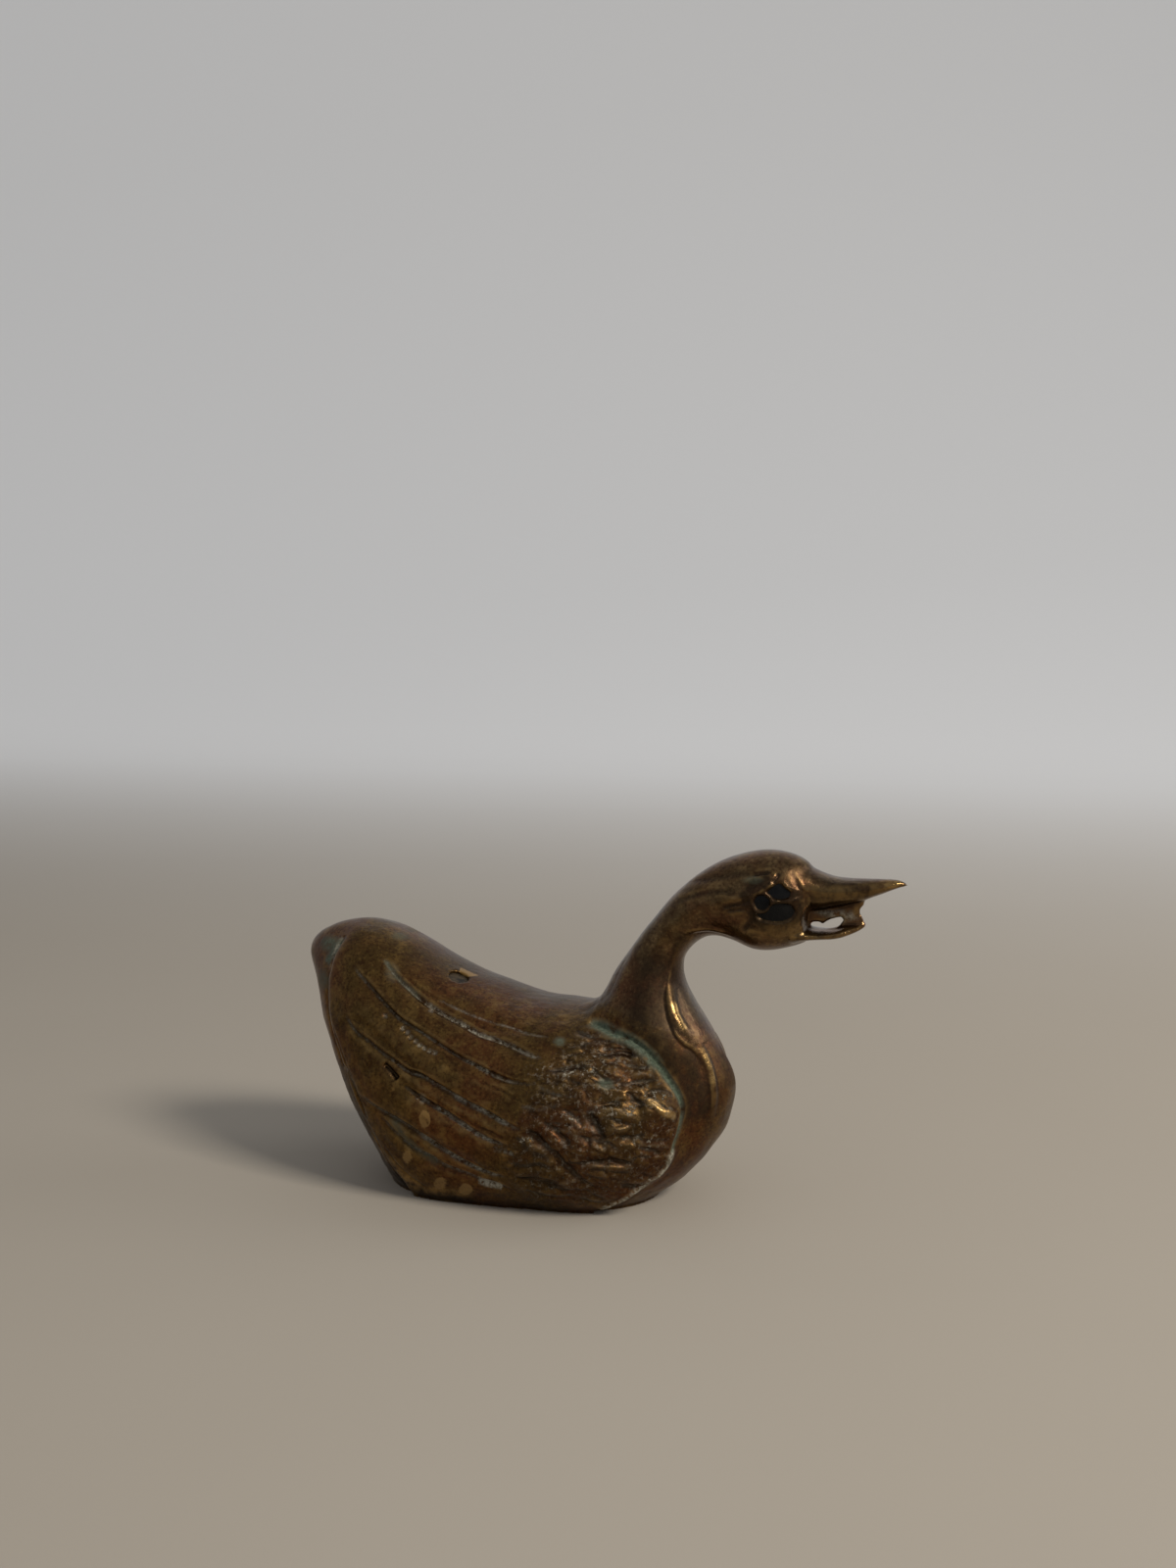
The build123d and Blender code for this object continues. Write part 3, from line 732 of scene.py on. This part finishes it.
for line in LONG_FEATHERS:
    STROKES["dark"].append((line, 0.5, 0.15))
    STROKES["residue"].append((line, 0.17, 0.5))
for line, half_width, depth in SHORT_CUTS:
    STROKES["dark"].append((line, 0.9 * half_width, min(1.0, 1.4 * depth)))
    STROKES["residue"].append((line, 0.2, 0.16))
STROKES["residue"] += [(line, 0.22, 0.15) for line, _, _ in SHORT_RIDGES]
STROKES["dark"] += [(line, 0.35, 0.5) for line, _, _ in HEAD_GROOVES]
# Painted shade around the eye
STROKES["dark"] += [(line, 0.55, 1.2) for line in EYE_SHADE]
# Painted highlights along the two upper ridges by the eye and on the crests of the neck
STROKES["gold"] += [(line, 0.14, 0.5) for line, _, _ in HEAD_RIDGES[:2]]
STROKES["gold"] += [(line, 0.35, 1.2) for line in CREST_SHINE]
# Ovals: centre, radii across and down in pixels, strength, and the sides where they aren't both
OVALS = {
    "verdigris": [
        ((337, 963), 8, 7, 0.8), ((330, 1000), 5, 8, 0.5), ((571, 1063), 5, 4, 0.7), ((618, 1106), 7, 5, 0.7),
        ((400, 992), 6, 8, 0.35), ((768, 898), 8, 3, 0.5), ((408, 955), 7, 4, 0.4),
    ],
    "residue": [((429, 1121), 4, 4, 0.9)] + [(centre, 2, 2, 0.8) for centre in PUNCH_DOTS],
    "specks": [(centre, 11, 5, 0.8) for centre in RESIDUE_AND_GLINT_SPOTS],
    "ochre": [
        ((433, 1142), 5, 8, 2.0, [NEAR]), ((475, 1214), 6, 5, 2.0, [NEAR]), ((449, 1208), 7, 7, 1.2),
        ((415, 1181), 5, 7, 1.3), ((401, 1109), 3, 5, 0.8), ((387, 970), 10, 6, 0.5), ((412, 1066), 8, 8, 0.35),
    ],
    "gold": [((798, 951), 24, 7, 0.35)],
    # Painted shade at the temple and beside the eye, and a broad darker oval at the front of the wing by the neck
    "dark": [((628, 1062), 34, 14, 0.6), ((812, 894), 10, 9, 0.45), ((772, 932), 5, 8, 0.8)],
    "matte": [((812, 895), 9, 9, 0.6), ((772, 932), 5, 8, 1.0)],
}
# Patches: outline, strength, pixels over which the edge fades, zone and sides
bill_zone = base[:, X] > 22
PATCHES = {
    "ochre": [(PLUG_PATCH, 1.6, 2.0, True, [NEAR])],
    "dark": [(EYE_INLAY, 0.85, 8.0), (WEB_ZONE, 0.35, 4.0, bill_zone)],
    "calm": [(EYE_INLAY, 1.0, 8.0)],
    "copper": [(WEB_ZONE, 0.6, 4.0, bill_zone)],
    "residue": [(WEB_RESIDUE, 0.75, 5.0, bill_zone)],
}
for make, table in ((paint, STROKES), (blotch, OVALS), (patch, PATCHES)):
    for name, marks in table.items():
        for mark in marks:
            make(name, *mark)
masks["dark"] = np.maximum(masks["dark"], 0.5 * masks["chisel"])


def noise_at(scale, offset):
    """Smooth noise at each vertex."""
    return np.array([noise.noise(Vector(p) * scale + Vector(offset)) for p in base])


# Unevenness of the cast surface: waves, grain, more of it on the wings, and crumbs in the facets
WAVE_MM, GRAIN_MM, WING_GRAIN_MM, CRUMB_MM = 0.09, 0.02, 0.04, 0.05
wing = linear(np.abs(base[:, X] + 10), 40, 20) * linear(base[:, Z], 26, 20) * linear(base[:, X], 13, 11)
waves = noise_at(0.22, (0, 0, 0))
grain = noise_at(0.9, (7, 3, 1))
crumbs = noise_at(2.1, (1, 8, 5))
form += WAVE_MM * waves + (GRAIN_MM + WING_GRAIN_MM * wing) * grain + CRUMB_MM * masks["chisel"] * np.abs(crumbs)

# The carved shape stays in the CAD's box, with its foot flat on the floor
FOOT_MM = 0.25
height = form + cut + raised
shape = base + base_normals * height[:, None]
shape = relax(shape, edges, 1, 0.35)
shape = np.clip(shape, low_mm, high_mm)
shape[base[:, Z] < FOOT_MM, Z] = 0.0

# How far each point stands out of its surroundings, less so by the plug, at the eye and in the facets
EDGE_MM = 0.06
PLUG_EDGE, CALM_EDGE, CHISEL_EDGE = 0.25, 0.8, 0.45
soft = relax(shape, edges, 14, 0.6)
normals = normals_of(shape, quads)
edge = np.clip(((shape - soft) * normals).sum(1) / EDGE_MM, -1, 1) * (PLUG_EDGE + (1 - PLUG_EDGE) * off_plug)
quiet = 1 - CALM_EDGE * masks["calm"] - CHISEL_EDGE * masks["chisel"] * (1 - masks["calm"])
masks["edge"] = edge * np.where(edge > 0, quiet, 1)


def point_mesh(name, points, faces, values=None):
    """A mesh of points in mm, with values at its vertices for the materials."""
    mesh = bpy.data.meshes.new(name)
    mesh.from_pydata([tuple(p) for p in points * MM], [], [tuple(int(v) for v in f) for f in faces])
    for key, array in (values or {}).items():
        mesh.attributes.new(key, "FLOAT", "POINT").data.foreach_set("value", array.astype(np.float32))
    mesh.update()
    return mesh


def add_piece(name, mesh, replaced, material):
    obj = add_object(name, mesh)
    mesh.materials.clear()
    mesh.materials.append(material)
    mesh.shade_smooth()
    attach(obj, "root")
    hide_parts(*replaced)


class Nodes:
    """A short way to build a node tree."""

    def __init__(self, name):
        self.material = bpy.data.materials.new(name)
        self.material.use_nodes = True
        self.tree = self.material.node_tree
        self.tree.nodes.clear()
        self.shader = self.add("BsdfPrincipled", {})
        self.add("OutputMaterial", {"Surface": self.shader.outputs[0]})
        self.place = self.add("TexCoord", {}).outputs["Object"]

    def put(self, socket, value):
        if isinstance(value, bpy.types.NodeSocket):
            self.tree.links.new(value, socket)
        else:
            socket.default_value = (*value, 1.0) if socket.type == "RGBA" and len(value) == 3 else value

    def set(self, name, value):
        self.put(self.shader.inputs[name], value)

    def add(self, kind, inputs):
        node = self.tree.nodes.new("ShaderNode" + kind)
        for key, value in inputs.items():
            self.put(node.inputs[key], value)
        return node

    def noise(self, scale, detail=4.0, rough=0.55, twist=0.0, vector=None):
        inputs = {"Scale": scale, "Detail": detail, "Roughness": rough, "Distortion": twist}
        return self.add("TexNoise", {"Vector": vector or self.place, **inputs}).outputs[0]

    def ramp(self, value, low, high):
        m = self.add("MapRange", {"Value": value, "From Min": low, "From Max": high})
        m.interpolation_type = "SMOOTHSTEP"
        return m.outputs[0]

    def math(self, kind, a, b, clamp=False):
        m = self.add("Math", {0: a, 1: b})
        m.operation = kind
        m.use_clamp = clamp
        return m.outputs[0]

    def plus(self, a, b, clamp=False):
        return self.math("ADD", a, b, clamp)

    def minus(self, a, b):
        return self.math("SUBTRACT", a, b)

    def times(self, a, b):
        return self.math("MULTIPLY", a, b)

    def larger(self, a, b):
        return self.math("MAXIMUM", a, b)

    def mix(self, share, a, b):
        m = self.add("Mix", {})
        m.data_type = "RGBA"
        for k, value in ((0, share), (6, a), (7, b)):
            self.put(m.inputs[k], value)
        return m.outputs[2]

    def mask(self, name):
        a = self.add("Attribute", {})
        a.attribute_name = name
        return a.outputs["Fac"]

    def bump(self, value, strength, distance, below=None):
        inputs = {"Strength": strength, "Distance": distance, "Height": value}
        return self.add("Bump", inputs | ({"Normal": below} if below else {})).outputs[0]


# Noise of the metal, in cells per metre
CLOUD, MOTTLE, SPECK = 130, 520, 2600
# Colours over the metal, and the pairs between which two of them vary
RUBBED_COPPER = (0.15, 0.07, 0.03)
# Near-black of the dark patina in the cuts and of the painted shade
PATINA_AND_SHADE_BLACK = (0.016, 0.010, 0.006)
# Bare brass of worn edges, also used for the painted highlights
BARE_BRASS_AND_HIGHLIGHT = (0.30, 0.185, 0.065)
OCHRE = (0.25, 0.142, 0.034)
GREENS = ((0.040, 0.057, 0.035), (0.095, 0.118, 0.078))
# Pale residue, also used for the painted glints in the short feathers
CHALK_AND_GLINT_WHITES = ((0.13, 0.112, 0.076), (0.34, 0.31, 0.24))
# Metalness of bare metal and how much of it a crust takes, and how far finishes move the roughness
METALNESS, CRUST_METALNESS = 0.9, 0.84
DARK_ROUGH, MATTE_ROUGH, WORN_AND_HIGHLIGHT_SMOOTH, CRUST_ROUGH = 0.04, 0.3, 0.13, 0.4


def scaled(colour, factor):
    return tuple(c * factor for c in colour)


def patina(name, olive, brown, rough, grain):
    """Old brass: mottled patina, darker in the cuts, bare on the edges, verdigris and polish residue, with
    painted shade, painted highlights and painted glints.
    """
    n = Nodes(name)
    cloud = n.noise(CLOUD, 5, 0.6, 0.4)
    mottle = n.noise(MOTTLE, 6, 0.65)
    speck = n.noise(SPECK, 4, 0.6)
    speck_share = n.ramp(speck, 0.35, 0.65)

    # Mottling: noise, where it starts and is full, its strength and its colour
    colour = n.mix(n.ramp(cloud, 0.38, 0.64), olive, brown)
    for source, start, full, strength, tint in (
        (mottle, 0.49, 0.65, 0.6, scaled(olive, 2.1)),
        (mottle, 0.49, 0.33, 0.65, scaled(brown, 0.42)),
        (speck, 0.53, 0.63, 0.65, scaled(brown, 0.32)),
        (speck, 0.44, 0.35, 0.4, scaled(olive, 2.6)),
    ):
        colour = n.mix(n.times(n.ramp(source, start, full), strength), colour, tint)

    # Copper where it is rubbed, dark in the hollows and under the painted shade, bare brass on the edges and in
    # the painted highlights
    edge = n.mask("edge")
    hollow = n.times(n.ramp(n.times(edge, -1.0), 0.05, 0.9), 0.55)
    proud = n.ramp(edge, 0.15, 0.95)
    copper = n.times(n.mask("copper"), n.ramp(n.noise(380, 4), 0.3, 0.6))
    colour = n.mix(copper, colour, RUBBED_COPPER)
    dark = n.times(n.plus(n.mask("dark"), hollow, True), n.ramp(mottle, 0.2, 0.55))
    colour = n.mix(n.times(dark, 0.8), colour, PATINA_AND_SHADE_BLACK)
    worn_and_highlight = n.plus(n.mask("gold"), n.times(proud, 0.4), True)
    worn_and_highlight = n.times(worn_and_highlight, n.ramp(n.noise(900, 5, 0.6), 0.3, 0.62))
    colour = n.mix(worn_and_highlight, colour, BARE_BRASS_AND_HIGHLIGHT)

    # Ochre stains, verdigris, polish residue and painted glints in the short feathers, broken up by noise
    ochre = n.minus(n.mask("ochre"), n.times(n.noise(1300, 6, 0.75), 1.7))
    ochre = n.times(n.ramp(ochre, -0.2, 0.35), n.ramp(mottle, 0.2, 0.45))
    ochre = n.times(ochre, 0.7)
    colour = n.mix(ochre, colour, OCHRE)
    green = n.times(n.mask("verdigris"), n.ramp(n.noise(700, 6, 0.7), 0.22, 0.5))
    colour = n.mix(green, colour, n.mix(speck_share, *GREENS))
    residue_and_glint_flecks = n.plus(n.times(n.mask("chisel"), 0.4), n.mask("specks"))
    residue_and_glint_flecks = n.times(residue_and_glint_flecks, n.ramp(n.noise(1900, 6, 0.75), 0.53, 0.62))
    white = n.times(n.mask("residue"), n.ramp(n.noise(1500, 5, 0.7), 0.36, 0.56))
    patchy = n.plus(n.times(n.ramp(n.noise(260, 4, 0.6), 0.42, 0.58), 0.5), 0.5)
    white = n.plus(n.times(white, patchy), n.times(residue_and_glint_flecks, 0.75), True)
    colour = n.mix(white, colour, n.mix(speck_share, *CHALK_AND_GLINT_WHITES))
    crust = n.larger(green, white)
    n.set("Base Color", colour)
    n.set("Metallic", n.minus(METALNESS, n.times(n.larger(crust, ochre), CRUST_METALNESS)))

    roughness = n.plus(n.times(n.noise(300, 5, 0.6), grain), rough - grain / 2)
    roughness = n.plus(roughness, n.times(dark, DARK_ROUGH))
    roughness = n.plus(roughness, n.times(n.mask("matte"), MATTE_ROUGH))
    roughness = n.minus(roughness, n.times(n.larger(worn_and_highlight, n.mask("copper")), WORN_AND_HIGHLIGHT_SMOOTH))
    roughness = n.plus(roughness, n.times(crust, CRUST_ROUGH), True)
    n.set("Roughness", roughness)

    # Relief finer than the mesh: specks, mottling, scratches and crust, with their heights in metres
    stretched = {"Vector": n.place, "Scale": (600, 3500, 1500), "Rotation": (0.3, 0.5, 0.2)}
    scratches = n.noise(1.0, 3, 0.6, 0.0, n.add("Mapping", stretched).outputs[0])
    relief = n.bump(speck, 0.25, 0.00008)
    relief = n.bump(mottle, 0.35, 0.00022, relief)
    relief = n.bump(scratches, 0.12, 0.00006, relief)
    relief = n.bump(crust, 0.5, 0.00012, relief)
    n.set("Normal", relief)
    return n.material


def inlay_material():
    """Dark glossy inlay of the eyes."""
    n = Nodes("dark inlay")
    cloud = n.noise(420, 4, 0.6)
    fleck = n.noise(2200, 5, 0.6)
    colour = n.mix(n.ramp(cloud, 0.35, 0.65), (0.002, 0.0022, 0.0025), (0.006, 0.006, 0.006))
    colour = n.mix(n.times(n.ramp(fleck, 0.58, 0.72), 0.4), colour, (0.02, 0.015, 0.01))
    n.set("Specular IOR Level", 0.14)
    n.set("Base Color", colour)
    n.set("Roughness", n.plus(n.times(cloud, 0.2), 0.12))
    n.set("Normal", n.bump(fleck, 0.2, 0.00006))
    return n.material


def plug_material():
    """Dull metal of the plug in the back."""
    n = Nodes("core pin")
    cloud = n.noise(900, 5, 0.65)
    colour = n.mix(n.ramp(cloud, 0.35, 0.65), (0.022, 0.017, 0.013), (0.085, 0.062, 0.038))
    n.set("Base Color", colour)
    n.set("Metallic", 0.8)
    n.set("Roughness", n.plus(n.times(cloud, 0.3), 0.4))
    n.set("Normal", n.bump(cloud, 0.6, 0.0002))
    return n.material


# Metals: olive and brown of the patina, roughness and how far it varies
body_metal = patina("body patina", (0.083, 0.0465, 0.0125), (0.104, 0.0385, 0.012), 0.36, 0.2)
neck_metal = patina("neck patina", (0.088, 0.055, 0.024), (0.108, 0.046, 0.020), 0.24, 0.14)
braze_metal = patina("braze filler", (0.089, 0.055, 0.019), (0.110, 0.045, 0.017), 0.29, 0.16)
inlay = inlay_material()


# Middle, normal and half the thickness of the joint, where the fine mesh is cut, from the CAD's ring
ring = points_of(nodes["neck_braze_ring"].data)
joint_at = ring.mean(0)
_, _, axes = np.linalg.svd(ring - joint_at, full_matrices=False)
joint_normal = axes[2] * np.sign(axes[2][Z])
span = (ring - joint_at) @ joint_normal
joint_at = joint_at + joint_normal * (span.max() + span.min()) / 2
joint_half = (span.max() - span.min()) / 2
turned = dict(zip(("normal_x", "normal_y", "normal_z"), normals.T))
whole = point_mesh("whole", shape, quads, masks | turned)


def cut_mesh(name, planes):
    """A closed part of the whole mesh: what lies on the kept side of each plane."""
    bm = bmesh.new()
    bm.from_mesh(whole)
    for offset, keep_above in planes:
        at = Vector((joint_at + joint_normal * offset) * MM)
        sides = {"clear_outer": not keep_above, "clear_inner": keep_above}
        parts = bm.verts[:] + bm.edges[:] + bm.faces[:]
        bmesh.ops.bisect_plane(bm, geom=parts, plane_co=at, plane_no=Vector(joint_normal), **sides)
        rim = [e for e in bm.edges if e.is_boundary]
        bmesh.ops.holes_fill(bm, edges=rim, sides=0)
    bmesh.ops.recalc_face_normals(bm, faces=bm.faces[:])
    mesh = bpy.data.meshes.new(name)
    bm.to_mesh(mesh)
    bm.free()
    facing = np.zeros((len(mesh.vertices), 3), np.float32)
    for k, key in enumerate(turned):
        column = np.zeros(len(mesh.vertices), np.float32)
        mesh.attributes[key].data.foreach_get("value", column)
        facing[:, k] = column
    mesh.shade_smooth()
    mesh.normals_split_custom_set_from_vertices(facing.tolist())
    return mesh


for name, replaced, slot, metal, planes in (
    ("body_casting", ["body_shell"], "body_brass", body_metal, [(-joint_half, False)]),
    ("neck_casting", ["neck_and_head"], "neck_brass", neck_metal, [(joint_half, True)]),
    ("braze_bead", ["neck_braze_ring"], "braze", braze_metal, [(-joint_half, True), (joint_half, False)]),
):
    add_piece(name, cut_mesh(name, planes), replaced, metal)

# Depths of an inlay's upper and lower face under the surface of the head, in mm
INLAY_TOP, INLAY_BOTTOM = 0.36, 1.4


def inlay_mesh(name, hand):
    """The dark inlay of one eye: a closed shell just under the surface of the head."""
    pick = np.zeros(len(base), bool)
    chosen, seen = seen_side(hand, head_side, LEAST_COSINE)
    pick[chosen[inside_polygon(seen, EYE_INLAY) > 0]] = True
    faces = quads[pick[quads].all(1)]
    used, local = np.unique(faces, return_inverse=True)
    local = local.reshape(-1, 4)
    upper = base[used] - base_normals[used] * INLAY_TOP
    lower = base[used] - base_normals[used] * INLAY_BOTTOM
    count = len(used)
    pairs = sides_of(local)
    keys = np.sort(pairs, axis=1)
    _, first, counts = np.unique(keys, axis=0, return_index=True, return_counts=True)
    rim = pairs[first[counts == 1]]
    walls = np.stack([rim[:, 1], rim[:, 0], rim[:, 0] + count, rim[:, 1] + count], 1)
    all_faces = np.vstack([local, local[:, ::-1] + count, walls])
    return point_mesh(name, np.vstack([upper, lower]), all_faces)


for name, hand in (("eye_right", NEAR), ("eye_left", FAR)):
    add_piece(name + "_inlay", inlay_mesh(name + "_inlay", hand), [name], inlay)

plug = nodes["core_pin_plug"]
plug.data.materials.clear()
plug.data.materials.append(plug_material())


def sweep():
    """Floor that curves up into a backdrop, in metres."""
    half_width, front, back, radius, top, steps = 3.0, -3.0, 0.55, 0.5, 1.6, 12
    profile = [(front, 0.0), (back, 0.0)]
    for k in range(1, steps + 1):
        a = radians(90 * k / steps)
        profile.append((back + radius * sin(a), radius * (1 - cos(a))))
    profile.append((back + radius, top))
    verts = [(x, y, z) for y, z in profile for x in (-half_width, half_width)]
    faces = [(k, k + 1, k + 3, k + 2) for k in range(0, len(verts) - 2, 2)]
    mesh = bpy.data.meshes.new("sweep")
    mesh.from_pydata(verts, [], faces)
    mesh.shade_smooth()
    return add_object("sweep", mesh)


# Cloth by the duck, backdrop with a glow of its own, and where it begins and is full, in metres behind it
CLOTH = ((0.362, 0.320, 0.266), (0.404, 0.362, 0.303))
BACKDROP = (0.50, 0.49, 0.475)
GLOW, GLOW_STRENGTH = (0.50, 0.50, 0.50), 0.55
BACKDROP_START, BACKDROP_FULL = 0.06, 0.68


def floor_material():
    """Pale floor that turns into a lighter backdrop."""
    n = Nodes("pale floor")
    cloth = n.mix(n.noise(6, 3), *CLOTH)
    depth = n.add("SeparateXYZ", {0: n.place}).outputs[Y]
    far = n.ramp(depth, BACKDROP_START, BACKDROP_FULL)
    n.set("Base Color", n.mix(far, cloth, BACKDROP))
    n.set("Roughness", 0.9)
    rays = n.add("LightPath", {}).outputs
    shown = n.plus(rays["Is Camera Ray"], rays["Is Glossy Ray"], True)
    shown = n.plus(shown, rays["Is Transmission Ray"], True)
    n.set("Emission Color", GLOW)
    n.set("Emission Strength", n.times(n.times(far, shown), GLOW_STRENGTH))
    return n.material


floor = sweep()
floor.data.materials.append(floor_material())

# Square area lamps, aimed at the duck: name, place and size in metres, power in watts and colour
LAMP_AIM = (0.0, 0.0, 0.02)
LAMPS = [
    ("key", (0.44, -0.17, 0.42), 0.16, 2.8, (1.0, 0.94, 0.85)),
    ("back", (-0.05, 0.48, 0.50), 0.6, 0.3, (0.96, 0.97, 1.0)),
    ("right", (0.62, 0.30, 0.35), 0.35, 0.8, (0.98, 0.98, 1.0)),
]
for name, place, size, power, colour in LAMPS:
    data = bpy.data.lights.new(name, "AREA")
    data.shape = "RECTANGLE"
    data.size = data.size_y = size
    data.energy = power
    data.color = colour
    lamp = add_object(name, data)
    lamp.location = place
    lamp.rotation_euler = (Vector(LAMP_AIM) - Vector(place)).to_track_quat("-Z", "Y").to_euler()

WORLD_COLOUR, WORLD_STRENGTH = (0.86, 0.88, 0.92, 1.0), 0.40
world = bpy.data.worlds.new("studio")
world.use_nodes = True
sky = world.node_tree.nodes["Background"].inputs
sky[0].default_value = WORLD_COLOUR
sky[1].default_value = WORLD_STRENGTH
bpy.context.scene.world = world
bpy.context.scene.view_settings.view_transform = "Standard"

camera_data = bpy.data.cameras.new("camera")
camera_data.sensor_width = SENSOR_MM
camera_data.lens = SENSOR_MM * FOCAL_PX / IMAGE_HEIGHT
camera_data.clip_start = 0.01
camera = add_object("camera", camera_data)
camera.location = Vector(CAMERA_MM) * MM
camera.rotation_euler = CAMERA_TURN
bpy.context.scene.camera = camera
